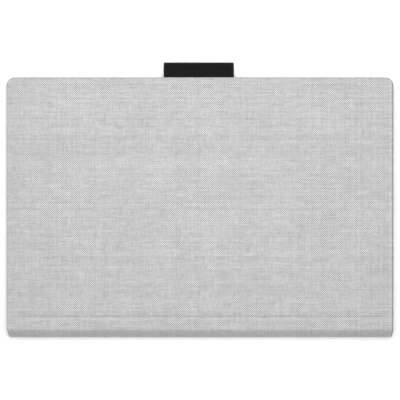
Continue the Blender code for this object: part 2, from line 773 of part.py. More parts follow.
def build_pen_loop(crease):
    """A band that leaves the cover's edge, runs round the pen and comes back to the edge."""
    band_radius = (loop_reach - loop_gap) / 2
    centre_y = top_y + loop_reach - band_radius
    centre_z = stiffener_high - band_radius
    steps = 24
    outline = [(base_top_y - loop_tongue, stiffener_low), (centre_y - band_radius, stiffener_low)]
    for step in range(steps + 1):
        turn = math.pi + 1.5 * math.pi * step / steps
        outline.append((centre_y + band_radius * math.cos(turn),
                        centre_z + band_radius * math.sin(turn)))
    outline.append((base_top_y - loop_tongue, stiffener_high))
    half = loop_width / 2
    band = add_object("pen_loop", prism_mesh("pen_loop", (outline, loop_x - half, loop_x + half, "x")),
                      "loop_black", crease)
    cut(band, "pen_room", (circle(centre_y, centre_z, band_radius - loop_band, 24),
                           loop_x - loop_width, loop_x + loop_width, "x"))
    smooth(band)


def main():
    for old in list(bpy.data.objects):
        bpy.data.objects.remove(old, do_unlink=True)
    build_back()
    build_tray()
    build_kickstand()
    build_spine()
    build_cover()


main()
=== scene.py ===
import json
import math

import bmesh
import bpy
import numpy as np
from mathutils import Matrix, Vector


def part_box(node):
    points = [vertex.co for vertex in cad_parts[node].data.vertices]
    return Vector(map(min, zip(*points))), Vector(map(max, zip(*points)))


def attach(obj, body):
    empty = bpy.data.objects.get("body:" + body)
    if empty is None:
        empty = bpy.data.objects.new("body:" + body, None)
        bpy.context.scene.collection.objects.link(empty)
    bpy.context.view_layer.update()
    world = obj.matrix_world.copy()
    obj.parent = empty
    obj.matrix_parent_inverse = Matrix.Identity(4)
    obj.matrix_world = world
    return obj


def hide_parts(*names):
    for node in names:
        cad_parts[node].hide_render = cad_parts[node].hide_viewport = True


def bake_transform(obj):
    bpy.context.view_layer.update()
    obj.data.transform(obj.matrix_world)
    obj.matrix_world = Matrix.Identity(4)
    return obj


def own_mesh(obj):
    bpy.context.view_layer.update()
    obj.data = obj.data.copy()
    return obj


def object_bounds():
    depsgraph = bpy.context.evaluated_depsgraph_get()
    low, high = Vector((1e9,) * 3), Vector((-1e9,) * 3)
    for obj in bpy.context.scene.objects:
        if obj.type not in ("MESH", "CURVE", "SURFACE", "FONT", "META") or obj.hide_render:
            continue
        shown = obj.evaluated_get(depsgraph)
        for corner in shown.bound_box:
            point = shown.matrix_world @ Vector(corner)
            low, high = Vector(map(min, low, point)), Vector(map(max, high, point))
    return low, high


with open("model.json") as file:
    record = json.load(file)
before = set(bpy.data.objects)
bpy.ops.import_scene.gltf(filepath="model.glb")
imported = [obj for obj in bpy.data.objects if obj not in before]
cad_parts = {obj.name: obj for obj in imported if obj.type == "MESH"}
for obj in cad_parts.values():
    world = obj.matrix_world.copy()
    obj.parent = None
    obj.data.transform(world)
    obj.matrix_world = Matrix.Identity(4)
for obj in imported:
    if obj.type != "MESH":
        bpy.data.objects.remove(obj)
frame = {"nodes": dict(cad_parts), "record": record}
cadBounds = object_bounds()
mm = 0.001


# Quads between the lines of a grid of points that is numbered row by row. A closed grid joins
# its last column to its first. The faces look along (row direction) x (column direction).
def gridQuads(rows, columns, closed=False, first=0):
    r, c = np.meshgrid(np.arange(rows - 1), np.arange(columns if closed else columns - 1), indexing="ij")
    here, beside = r * columns + c, r * columns + (c + 1) % columns
    return first + np.stack([here, here + columns, beside + columns, beside], axis=-1).reshape(-1, 4)


# A mesh object from an array of points, arrays of quads or triangles, and a flat pattern
# coordinate for each point, in metres, kept in the UV map "cloth".
def newPiece(name, points, faces, finish, pattern=None, sharp=35):
    points = np.asarray(points, float).reshape(-1, 3)
    mesh = bpy.data.meshes.new(name)
    mesh.from_pydata(points.tolist(), [], [f for block in faces for f in np.asarray(block).tolist()])
    mesh.shade_smooth()
    mesh.set_sharp_from_angle(angle=math.radians(sharp))
    if pattern is not None:
        corner = np.empty(len(mesh.loops), np.int32)
        mesh.loops.foreach_get("vertex_index", corner)
        layer = mesh.uv_layers.new(name="cloth")
        layer.uv.foreach_set("vector", np.asarray(pattern, np.float32).reshape(-1, 2)[corner].ravel())
    mesh.materials.append(finish)
    piece = bpy.data.objects.new(name, mesh)
    bpy.context.collection.objects.link(piece)
    return piece


# A sheet with thickness: the outside is a grid of points, the inside is the same grid moved in
# along its normals, and a half-round rim of three lines joins the two all the way round.
def sheetPiece(name, outside, normals, thick, pattern, finish, sharp=50):
    rows, columns = outside.shape[:2]
    inside = outside - thick * normals
    ids = np.arange(rows * columns).reshape(rows, columns)
    rim = np.concatenate([ids[:-1, 0], ids[-1, :-1], ids[:0:-1, -1], ids[0, :0:-1]])
    beside = np.concatenate([ids[:-1, 1], ids[-2, :-1], ids[:0:-1, -2], ids[1, :0:-1]])
    flatOut, flatIn = outside.reshape(-1, 3), inside.reshape(-1, 3)
    flatNormal, flatPattern = normals.reshape(-1, 3), pattern.reshape(-1, 2)
    out = flatOut[rim] - flatOut[beside]
    out -= np.sum(out * flatNormal[rim], axis=1, keepdims=True) * flatNormal[rim]
    out /= np.maximum(np.linalg.norm(out, axis=1, keepdims=True), 1e-12)
    middle = (flatOut[rim] + flatIn[rim]) / 2 + out * thick * 0.3
    count, n = len(flatOut), len(rim)
    step = np.arange(n)
    after = (step + 1) % n
    faces = [
        gridQuads(rows, columns),
        gridQuads(rows, columns, first=count)[:, ::-1],
        np.stack([rim[after], rim, 2 * count + step, 2 * count + after], axis=1),
        np.stack([2 * count + after, 2 * count + step, rim + count, rim[after] + count], axis=1),
    ]
    a, b, c = flatOut[faces[0][rows * columns // 2][:3]]
    if np.dot(np.cross(b - a, c - a), flatNormal[faces[0][rows * columns // 2][0]]) < 0:
        faces = [f[:, ::-1] for f in faces]
    return newPiece(name, np.concatenate([flatOut, flatIn, middle]), faces, finish,
                    np.concatenate([flatPattern, flatPattern, flatPattern[rim]]), sharp)


# A solid from rings of points, each ring as many points as the next: quads between the rings,
# and a fan round the middle of the first and last ring. It is turned the other way round if its
# volume, the sum of a . (b x c) over its faces, comes out negative.
def ringSolid(rings):
    rings = np.asarray(rings, float)
    count, size = rings.shape[:2]
    points = np.concatenate([rings.reshape(-1, 3), rings[:1].mean(axis=1), rings[-1:].mean(axis=1)])
    side = np.arange(size)
    after = (side + 1) % size
    low, high, top = count * size, count * size + 1, (count - 1) * size
    quads = gridQuads(count, size, closed=True)
    fans = np.concatenate([np.stack([np.full(size, low), side, after], axis=1),
                           np.stack([np.full(size, high), top + after, top + side], axis=1)])
    centred = points - points.mean(axis=0)
    volume = 0.0
    for corners in (quads[:, [0, 1, 2]], quads[:, [0, 2, 3]], fans):
        a, b, c = (centred[corners[:, k]] for k in range(3))
        volume += np.sum(a * np.cross(b, c))
    return (points, quads[:, ::-1], fans[:, ::-1]) if volume < 0 else (points, quads, fans)


# A closed section carried along a path, with a pattern coordinate for each point of each ring.
def loopPiece(name, rings, pattern, finish, sharp=40):
    points, quads, fans = ringSolid(rings)
    size = rings.shape[1]
    pattern = np.asarray(pattern, float).reshape(-1, 2)
    ends = np.stack([pattern[:size].mean(axis=0), pattern[-size:].mean(axis=0)])
    return newPiece(name, points, [quads, fans], finish, np.concatenate([pattern, ends]), sharp)


# One row of values that runs through the stops, given as (from, to, how many steps).
def along(*stops):
    parts = [np.linspace(a, b, n, endpoint=False) for a, b, n in stops]
    return np.concatenate(parts + [[stops[-1][1]]])


def smoothStep(low, high, value):
    t = np.clip((value - low) / (high - low), 0, 1)
    return t * t * (3 - 2 * t)


# One output in a material's nodes. Arithmetic on it adds Math nodes.
class Wire:
    def __init__(self, finish, socket):
        self.finish, self.socket = finish, socket

    def of(self, operation, *others):
        return self.finish.add("Math", {"operation": operation}, dict(enumerate([self, *others])))

    def reversed(self, operation, other):
        return self.finish.add("Math", {"operation": operation}, {0: other, 1: self})

    def __add__(self, other):
        return self.of("ADD", other)

    def __sub__(self, other):
        return self.of("SUBTRACT", other)

    def __rsub__(self, other):
        return self.reversed("SUBTRACT", other)

    def __mul__(self, other):
        return self.of("MULTIPLY", other)

    def __truediv__(self, other):
        return self.of("DIVIDE", other)

    def __mod__(self, other):
        return self.of("FLOORED_MODULO", other)

    def __gt__(self, other):
        return self.of("GREATER_THAN", other)

    def __lt__(self, other):
        return self.of("LESS_THAN", other)

    def __abs__(self):
        return self.of("ABSOLUTE")

    __radd__, __rmul__ = __add__, __mul__


# A material with one Principled shader, whose uniform sockets are given by name.
class Finish:
    def __init__(self, name, uniform):
        self.material = bpy.data.materials.new(name)
        self.material.use_nodes = True
        self.nodes, self.links = self.material.node_tree.nodes, self.material.node_tree.links
        self.shader = self.nodes["Principled BSDF"]
        self.feed(self.shader, uniform)

    # settings come before sockets, because a Mix or Math node's sockets depend on them
    def add(self, kind, settings=None, sockets=None, output=0):
        node = self.nodes.new("ShaderNode" + kind)
        for key, value in (settings or {}).items():
            if key == "stops":
                ramp = node.color_ramp
                while len(ramp.elements) < len(value):
                    ramp.elements.new(0.5)
                for element, (place, colour) in zip(ramp.elements, value):
                    element.position, element.color = place, (*colour, 1)
            else:
                setattr(node, key, value)
        self.feed(node, sockets or {})
        return Wire(self, node.outputs[output])

    def feed(self, node, sockets):
        for key, value in sockets.items():
            socket = node.inputs[key]
            if isinstance(value, Wire):
                self.links.new(value.socket, socket)
            elif socket.type == "RGBA":
                socket.default_value = (*value, 1)
            else:
                socket.default_value = value

    def split(self, vector):
        first = self.add("SeparateXYZ", {}, {0: vector})
        return [Wire(self, output) for output in first.socket.node.outputs]

    def join(self, x=0.0, y=0.0, z=0.0):
        return self.add("CombineXYZ", {}, {0: x, 1: y, 2: z})

    def place(self):
        return self.add("TexCoord", output="Object")

    def cloth(self):
        return self.split(self.add("UVMap", {"uv_map": "cloth"}))[:2]

    def noise(self, vector, scale, detail=2.0):
        return self.add("TexNoise", {}, {"Vector": vector, "Scale": scale, "Detail": detail})

    def chance(self, number):
        return self.add("TexWhiteNoise", {"noise_dimensions": "1D"}, {"W": number})

    def blend(self, share, first, second):
        return self.add("Mix", {"data_type": "RGBA"}, {0: share, 6: first, 7: second}, output=2)

    def ramp(self, share, *stops):
        return self.add("ValToRGB", {"stops": stops}, {0: share})

    def bump(self, height, distance, strength=1.0):
        return self.add("Bump", {}, {"Height": height, "Distance": distance, "Strength": strength})

    def paint(self, **varying):
        names = {"colour": "Base Color", "roughness": "Roughness", "metal": "Metallic", "normal": "Normal"}
        self.feed(self.shader, {names[key]: value for key, value in varying.items()})
        return self.material


clothLook = {
    "pitch": 0.650 * mm,        # from one thread to the next
    "dark": (0.265, 0.265, 0.268),
    "light": (0.885, 0.885, 0.885),
    "wander": 0.32,             # how far a thread strays, in threads
    "relief": 0.10 * mm,
    "lip": (122.3 * mm, 123.2 * mm, 0.09),      # painted highlight down the right edge: from, to, and how much lighter
    "line": (123.95 * mm, 124.75 * mm, 0.50),   # painted shade on the right edge's roll beside it: from, to, how much darker
}


# Plain weave: threads are counted across and along, and where their counts add up to an even
# number the warp is on top. Every yarn has its own tone, which drifts along its length.
def wovenCloth(name, look):
    finish = Finish(name, {"Roughness": 0.92, "Sheen Weight": 0.12, "Sheen Roughness": 0.5,
                           "Specular IOR Level": 0.25})
    x, y = finish.cloth()
    flat = finish.join(x, y)
    stray = finish.split(finish.add("TexNoise", {}, {"Vector": flat, "Scale": 90.0, "Detail": 1.0}, output=1))
    warp = x / look["pitch"] + (stray[0] - 0.5) * (4 * look["wander"])
    weft = y / look["pitch"] + (stray[1] - 0.5) * (4 * look["wander"])
    warpCount, weftCount = warp.of("FLOOR"), weft.of("FLOOR")
    weftOnTop = (warpCount + weftCount) % 2
    warpYarn = finish.noise(finish.join(warpCount * 7.31, y * 170), 1.0, 3.0)
    weftYarn = finish.noise(finish.join(x * 110, weftCount * 5.17, 40.0), 1.0, 3.0)
    warpTone = 0.20 + (warpYarn - 0.5) * 0.9 + (finish.chance(warpCount) - 0.5) * 0.14
    weftTone = 0.80 + (weftYarn - 0.5) * 1.1 + (finish.chance(weftCount + 900) - 0.5) * 0.20
    tone = warpTone + (weftTone - warpTone) * weftOnTop
    cloud = (finish.noise(flat, 28.0, 3.0) - 0.5) * 0.16
    acrossWarp = (warp.of("FRACT") * math.pi).of("SINE")
    acrossWeft = (weft.of("FRACT") * math.pi).of("SINE")
    hump = acrossWarp * acrossWeft
    pit = 1 - (1 - hump) * 0.28         # less light reaches down between the threads
    # painted highlight and painted shade: the colour is made lighter, then darker, in bands down the cloth's right
    # edge, where light catches the edge and the roll turns away from it
    lip, line = ((x > low) * (x < high) * change for low, high, change in (look["lip"], look["line"]))
    shade = ((tone + cloud) * pit + lip - line).of("MAXIMUM", 0).of("MINIMUM", 1)
    colour = finish.blend(shade, look["dark"], look["light"])
    fuzz = finish.noise(flat, 9000.0, 1.0)
    return finish.paint(colour=colour, normal=finish.bump(hump + fuzz * 0.25, look["relief"], 0.8))


greyWeave = wovenCloth("grey_melange_weave", clothLook)


# Cloth drawn over the edges of a flat board. The cut is laid out as a grid: a middle, then on
# each wrapped side a strip that is first flat, then rolls over the edge, then runs down the wall.
# At a corner the square where two strips meet is pressed into a quarter disc, each point
# keeping the larger of its two distances from the corner's centre. A point that lies d outside
# the flat face goes d along a quarter circle of the roll's radius, and the rest down the wall.
def wrapCloth(x, y, face, roll, drop, radius, middleX, middleY, shrink):
    arc = roll * math.pi / 2
    flatShare = np.concatenate([along((0, 1, 4)), np.ones(8)])
    hang = np.concatenate([np.zeros(5), along((0, arc, 6))[1:], along((arc, arc + drop, 2))[1:]])
    strip = len(hang) - 1

    def lines(middle, low):
        before, count = strip if low else 0, len(middle)
        place = np.concatenate([np.zeros(before), middle, np.ones(strip)])
        side = np.concatenate([-np.ones(before), np.zeros(count), np.ones(strip)])
        share = np.concatenate([flatShare[:0:-1] if low else [], np.zeros(count), flatShare[1:]])
        over = np.concatenate([hang[:0:-1] if low else [], np.zeros(count), hang[1:]])
        return place, side, share, over

    px, sx, ax, dx = (v[None, :] for v in lines(middleX, True))
    py, sy, ay, dy = (v[:, None] for v in lines(middleY, False))
    corner = radius - roll
    round_ = np.where(sy > 0, corner, corner * py)
    coreY = y[0] + (y[1] - roll - corner - y[0]) * py + 0 * px
    left, right = x[0] + roll + round_, x[1] - roll - round_
    coreX = left + (right - left) * px
    outX = sx * (ax * round_ + dx * shrink(coreY))
    outY = sy * (ay * round_ + dy) + 0 * px
    reach = np.maximum(np.abs(outX), np.abs(outY))
    length = np.maximum(np.hypot(outX, outY), 1e-12)
    unitX, unitY = outX / length, outY / length
    oneSide = np.where(sx != 0, round_ * ax, round_ * ay) + 0 * coreX
    inner = np.where((sy != 0) & (sx != 0), round_, oneSide)
    d = np.maximum(reach - inner, 0)
    angle = np.minimum(d, arc) / roll
    out = reach - d + roll * np.sin(angle)
    down = roll * (1 - np.cos(angle)) + np.maximum(d - arc, 0)
    points = np.stack([coreX + unitX * out, coreY + unitY * out, face - down + 0 * coreX], axis=-1)
    normals = np.stack([unitX * np.sin(angle), unitY * np.sin(angle), np.cos(angle)], axis=-1)
    pattern = np.stack([coreX + unitX * reach, coreY + unitY * reach], axis=-1)
    return points, normals, pattern


spine = {
    "radius": (cadBounds[1][2] - cadBounds[0][2]) / 2,
    "centreY": cadBounds[0][1] + (cadBounds[1][2] - cadBounds[0][2]) / 2,
    "outerY": cadBounds[0][1],
    "half": cadBounds[1][0],
    "cloth": 0.6 * mm,
    "folds": [math.radians(a) for a in (30, 90, 150)],  # the three fold lines, round from the back
    "seams": [math.radians(a) for a in (50, 130)],      # where one length of skin meets the next
    "neutral": 8.2 * mm,                                # radius of the fold lines
    "shoulder": (math.radians(46), 1.9 * mm),           # the front strip bends over by this, at this radius
    "slope": math.radians(62),                          # how steep the side is where the nose begins
    "nose": 1.7 * mm,                                   # length of skin from there to the outermost line
    "endRoll": 1.1 * mm,
    "endHang": 1.28 * mm,
    "turned": 0.2 * mm,                                 # cloth turned in at each end, in the flat cut
    "pinch": (1.3 * mm, 0.35 * mm),                     # how far the outermost line is drawn in at each end
}
spine["centreZ"] = spine["radius"]
crease = {
    "low": spine["centreY"] + 2.9 * mm,     # where the front panel takes over from the spine's skin
    "middle": -76.0 * mm,
    "halfWidth": 1.25 * mm,
    "depth": 0.78 * mm,
    "fromEnd": (3.6 * mm, 7.0 * mm),        # the groove fades out between these distances from the end
    "turn": (-77.4 * mm, -72.6 * mm),
}


# The section of the spine as one long line from the back to the front. The back half is a flat
# and a quarter circle. The front half is laid out by how far it has turned at each length:
# fast over the shoulder, slowly down the side, and fast again round the nose. The side is as
# long as it must be for the line to come down from the front face to the outermost point.
# Gives columns of y, z, the outward normal's y and z, and the pattern coordinate.
def spineSection():
    radius = spine["radius"]
    turn, bend = spine["shoulder"]
    slope, nose = spine["slope"], spine["nose"]
    fall = lambda a, b, length: length * np.mean(np.sin(np.linspace(a, b, 200)))
    side = (radius - fall(0, turn, turn * bend) - fall(slope, math.pi / 2, nose)) / fall(turn, slope, 1)
    lengths = np.array([0, turn * bend, turn * bend + side, turn * bend + side + nose])
    s = np.linspace(0, lengths[-1], 61)
    middle = (s[1:] + s[:-1]) / 2
    turned = np.interp(middle, lengths, [0, turn, slope, math.pi / 2])
    step = s[1] - s[0]
    y = np.append(0, np.cumsum(-np.cos(turned) * step))
    z = np.append(0, np.cumsum(-np.sin(turned) * step)) + 2 * radius
    y += spine["outerY"] - y[-1]
    angle = np.interp(s, lengths, [0, turn, slope, math.pi / 2])
    front = np.stack([y, z, -np.sin(angle), np.cos(angle), y[0] - s], axis=1)[::-1]
    ahead = np.linspace(y[0], crease["low"], 8)[1:]
    flatFront = np.stack([ahead, 0 * ahead + 2 * radius, 0 * ahead, 0 * ahead + 1, ahead], axis=1)
    phi = np.linspace(0, math.pi / 2, 46)[:-1]
    back = np.stack([spine["centreY"] - radius * np.sin(phi), radius - radius * np.cos(phi),
                     -np.sin(phi), -np.cos(phi), front[0, 4] - (math.pi / 2 - phi) * radius], axis=1)
    away = np.linspace(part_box("spine_fabric_rear")[1][1], spine["centreY"], 24, endpoint=False)
    flatBack = np.stack([away, 0 * away, 0 * away, 0 * away - 1, back[0, 4] - (away - spine["centreY"])], axis=1)
    return np.concatenate([flatBack, back, front, flatFront])


# The rows of the section between two angles round the spine's centre, both ends included,
# and moved in by a depth along the normals.
def sectionPart(first, last, depth=0.0):
    line = section.copy()
    line[:, 0:2] -= depth * line[:, 2:4]
    angle = np.unwrap(np.arctan2(spine["centreY"] - section[:, 0], spine["centreZ"] - section[:, 1]))
    keep = (angle > first + 1e-4) & (angle < last - 1e-4)
    ends = [[np.interp(a, angle, line[:, k]) for k in range(5)] for a in (first, last)]
    rows = [line[keep]]
    if first > angle[0]:
        rows.insert(0, [ends[0]])
    else:
        rows.insert(0, line[angle <= first])
    rows.append([ends[1]] if last < angle[-1] else line[angle >= last])
    return np.concatenate([np.asarray(r).reshape(-1, 5) for r in rows])


# A length of the spine's layers: columns run from end to end, and at both ends the edge curls
# in round a circle. The two ends are drawn in a little towards the outermost line.
def spineSheet(name, line, half, roll, hang, thick, finish, middle=60):
    y, z, ny, nz, v = (line[:, k][:, None] for k in range(5))
    curl = along((0, hang, 6))[1:]
    side = np.concatenate([-np.ones(6), np.zeros(middle), np.ones(6)])[None, :]
    over = np.concatenate([curl[::-1], np.zeros(middle), curl])[None, :]
    place = np.concatenate([-np.ones(6), np.linspace(-1, 1, middle), np.ones(6)])[None, :]
    outermost = np.clip(-ny, 0, 1) ** 6
    pull = np.where(place < 0, *spine["pinch"]) * outermost * np.clip(np.abs(place) * 25 - 24, 0, 1)
    x = place * (half - roll) + side * roll * np.sin(over / roll) - np.sign(place) * pull
    inward = roll * (1 - np.cos(over / roll))
    points = np.stack([x, y - ny * inward, z - nz * inward], axis=-1)
    lean = np.sin(over / roll) * side
    normals = np.stack([lean + 0 * y, ny * np.cos(over / roll), nz * np.cos(over / roll)], axis=-1)
    pattern = np.stack([place * (half - roll) + side * over + 0 * v, v + 0 * x], axis=-1)
    return sheetPiece(name, points, normals, thick, pattern, finish)


# The line that a skin turns along at a fold of the spine: from one end of the turn to the other.
def foldSpan(fold, reach):
    y = spine["centreY"] - spine["neutral"] * math.sin(fold)
    z = spine["centreZ"] - spine["neutral"] * math.cos(fold)
    dy, dz = -math.cos(fold) * reach, math.sin(fold) * reach
    return (0, y - dy, z - dz), (0, y + dy, z + dz)


frontLow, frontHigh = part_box("front_fabric")


# The groove's section is a bell: the depth times e to the minus square of the distance in half widths.
def grooveDepth(y):
    return crease["depth"] * np.exp(-((y - crease["middle"]) / crease["halfWidth"]) ** 2)


def frontPanel():
    y = (crease["low"], frontHigh[1])
    rows = along((y[0], -72 * mm, 60), (-72 * mm, -60 * mm, 8), (-60 * mm, y[1] - 5.5 * mm, 50))
    share = (rows - y[0]) / (rows[-1] - y[0])
    points, normals, pattern = wrapCloth(
        (frontLow[0], frontHigh[0]), y, frontHigh[2], 1.1 * mm, frontHigh[2] - frontLow[2] - 1.1 * mm,
        5.5 * mm, along((0, 0.04, 8), (0.04, 0.96, 60), (0.96, 1, 8)), share,
        shrink=lambda y: 0.25 + 0.75 * smoothStep(-74.6 * mm, -72.6 * mm, y))
    x, y = points[..., 0], points[..., 1]
    fromEnd = frontHigh[0] - np.abs(x)
    points[..., 2] -= grooveDepth(y) * smoothStep(*crease["fromEnd"], fromEnd)
    piece = sheetPiece("front_panel", points, normals, spine["cloth"], pattern, greyWeave)
    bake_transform(piece)
    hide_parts("front_fabric", "spine_fabric_c")


def spineSkin():
    first, second = spine["seams"]
    parts = [
        ("spine_skin_back", sectionPart(-9, first), "tray", "spine_a", 0, 2.7 * mm, "spine_fabric_rear",
         "spine_anchor_strip"),
        ("spine_skin_middle", sectionPart(first, second), "spine_a", "spine_b", 1, 4.6 * mm, "spine_fabric_a",
         "spine_lining_middle"),
        ("spine_skin_front", sectionPart(second, 9), "spine_b", "spine_c", 2, 2.7 * mm, "spine_fabric_b",
         "spine_lining_front"),
    ]
    for name, line, a, b, fold, reach, node, under in parts:
        piece = spineSheet(name, line, spine["half"], spine["endRoll"], spine["endHang"], spine["cloth"], greyWeave)
        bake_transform(piece)
        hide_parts(node)


section = spineSection()
frontPanel()
spineSkin()
print("outer cloth done")


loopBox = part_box("pen_loop")
penLoop = {
    "band": 1.0 * mm,
    "outer": 4.85 * mm,
    "centre": (loopBox[1][1] - 4.85 * mm, loopBox[1][2] - 4.85 * mm),
    "x": (loopBox[0][0], loopBox[1][0]),
    "tongueStart": loopBox[0][1],
    "ribs": 0.62 * mm,
    "pressed": 0.62,    # the share of its thickness it loses under the cover's cloth
}


# Woven elastic: fine ribs run along the band, crossed by the shorter steps of the weft, and the
# two edges, bound tighter, are painted lighter as a painted highlight.
def elasticWebbing(name):
    finish = Finish(name, {"Roughness": 0.78, "Sheen Weight": 0.03, "Sheen Roughness": 0.4,
                           "Specular IOR Level": 0.16})
    x, y = finish.cloth()
    rib = abs((x / penLoop["ribs"] * math.pi).of("SINE"))
    course = (x / penLoop["ribs"]).of("FLOOR") * 0.5
    step = abs(((y / (0.85 * mm) + course) * math.pi).of("SINE"))
    # painted highlight: lighter towards the band's two edges
    edge = (abs(x) - 20.9 * mm).of("MAXIMUM", 0) / (1.8 * mm)
    yarn = finish.noise(finish.join(x * 2600, y * 320), 1.0, 2.0)
    lint = (finish.noise(finish.join(x, y), 1900.0, 2.0) > 0.70) * 0.05
    shade = rib * 0.30 + step * 0.22 + (yarn - 0.5) * 0.5 + edge * 0.30 + lint
    colour = finish.ramp(shade, (0.0, (0.002, 0.002, 0.0022)), (0.55, (0.0080, 0.0080, 0.0085)),
                         (1.0, (0.042, 0.042, 0.043)))
    return finish.paint(colour=colour, normal=finish.bump(rib * 0.6 + step * 0.5, 0.09 * mm, 0.9))


# The band's rings: a flat oval section carried along its path, whose normal is given at each point.
def bandRings(path, normals, x, thick, edgeSteps=7, across=28):
    turn = np.linspace(-math.pi / 2, math.pi / 2, edgeSteps)
    half = (x[1] - x[0]) / 2
    top = np.linspace(-1, 1, across)[1:-1] * (half - thick / 2)
    ends = half - thick / 2 + thick / 2 * np.cos(turn)
    u = np.concatenate([top, ends[::-1], -top, -ends])
    rise = thick / 2 * np.sin(turn[::-1])
    n = np.concatenate([0 * top + thick / 2, rise, 0 * top - thick / 2, -rise])
    lane = np.concatenate([top, np.full(edgeSteps, half), -top, np.full(edgeSteps, -half)])
    path, normals = np.asarray(path), np.asarray(normals)
    ring = np.zeros((len(path), len(u), 3))
    ring[..., 0] = (x[0] + x[1]) / 2 + u[None, :]
    ring[..., 1:] = path[:, None, :] + normals[:, None, :] * n[None, :, None]
    run = np.append(0, np.cumsum(np.hypot(*np.diff(path, axis=0).T)))
    return ring, np.stack(np.broadcast_arrays(lane[None, :], run[:, None]), axis=-1)


# The loop: from under the cover's cloth it runs level, once round the pen's circle, and its end
# comes up behind and is sewn to the start.
def makePenLoop():
    cy, cz = penLoop["centre"]
    r = penLoop["outer"] - penLoop["band"] / 2
    lead = np.linspace(penLoop["tongueStart"], cy, 16, endpoint=False)
    pressed = 1 - smoothStep(77.5 * mm, 81.5 * mm, lead)    # thin where it is laminated
    turn = np.linspace(0, math.radians(318), 64)
    path = np.concatenate([np.stack([lead, cz + r + 0 * lead], axis=1),
                           np.stack([cy + r * np.sin(turn), cz + r * np.cos(turn)], axis=1)])
    normals = np.concatenate([np.stack([0 * lead, 0 * lead + 1], axis=1),
                              np.stack([np.sin(turn), np.cos(turn)], axis=1)])
    ring, pattern = bandRings(path, normals, penLoop["x"], penLoop["band"])
    thin = np.ones(len(path))
    thin[: len(lead)] = 1 - pressed * penLoop["pressed"]
    top = cz + penLoop["outer"]
    ring[: len(lead), :, 2] = top - (top - ring[: len(lead), :, 2]) * thin[: len(lead), None]
    piece = loopPiece("pen_loop_band", ring, pattern, elasticWebbing("black_elastic"))
    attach(piece, "cover")
    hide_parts("pen_loop")


makePenLoop()
print("pen loop done")


bodyOf = {node: body for body, nodes in frame["record"]["behaviour"]["bodies"].items() for node in nodes}


# Moulded, sprayed or pressed stuff: a fine grain in the relief, a slow drift in the tone and a
# polish that varies a little. The numbers are colour, roughness, grain per metre and relief.
def grainFinish(name, look):
    finish = Finish(name, {"Specular IOR Level": look.get("gloss", 0.5)})
    place = finish.place()
    grain = finish.noise(place, look["grain"], 3.0)
    drift = finish.noise(place, 22.0, 3.0)
    shade = (grain - 0.5) * look.get("speckle", 0.15) + (drift - 0.5) * 0.25 + 0.5
    dark = tuple(c * 0.86 for c in look["colour"])
    light = tuple(min(c * 1.14, 1) for c in look["colour"])
    colour = finish.blend(shade, dark, light)
    polish = look["rough"] + (drift - 0.5) * 0.14
    return finish.paint(colour=colour, roughness=polish, normal=finish.bump(grain, look["relief"], 0.7))


# Brushed metal: the grain is drawn out along one direction, in tone, polish and relief alike.
def brushedFinish(name, colour, rough, stretch):
    finish = Finish(name, {"Metallic": 1.0})
    line = finish.add("Mapping", {}, {"Vector": finish.place(), "Scale": stretch})
    streak = finish.noise(line, 1.0, 4.0)
    tone = finish.blend(streak, tuple(c * 0.8 for c in colour), tuple(min(c * 1.12, 1) for c in colour))
    return finish.paint(colour=tone, roughness=rough + (streak - 0.5) * 0.2,
                        normal=finish.bump(streak, 0.01 * mm, 0.5))


# The circuit board: a green mask over straight copper runs, with a scatter of solder points.
def boardFinish(name):
    finish = Finish(name, {"Roughness": 0.35})
    x, y, z = finish.split(finish.place())
    run = abs((x * 1250 + (finish.noise(finish.join(0, y * 300), 1.0) * 4).of("FLOOR") * 0.5) % 1 - 0.5) < 0.16
    pad = finish.noise(finish.join(x, y), 900.0, 0.0) > 0.66
    green = finish.blend(run, (0.010, 0.060, 0.028), (0.020, 0.115, 0.050))
    return finish.paint(colour=finish.blend(pad, green, (0.55, 0.53, 0.48)), metal=pad * 0.9,
                        normal=finish.bump(run + pad, 0.03 * mm))


# The flat cable: amber film over close parallel copper tracks that run along the cable.
def cableFinish(name):
    finish = Finish(name, {"Roughness": 0.3, "Coat Weight": 0.3})
    x, y = finish.cloth()
    track = abs((x / (0.8 * mm)) % 1 - 0.5) < 0.27
    haze = finish.noise(finish.join(x, y), 300.0)
    amber = finish.blend(track, (0.30, 0.11, 0.018), (0.52, 0.25, 0.06))
    return finish.paint(colour=finish.blend(haze * 0.25, amber, (0.2, 0.08, 0.02)),
                        normal=finish.bump(track, 0.02 * mm))


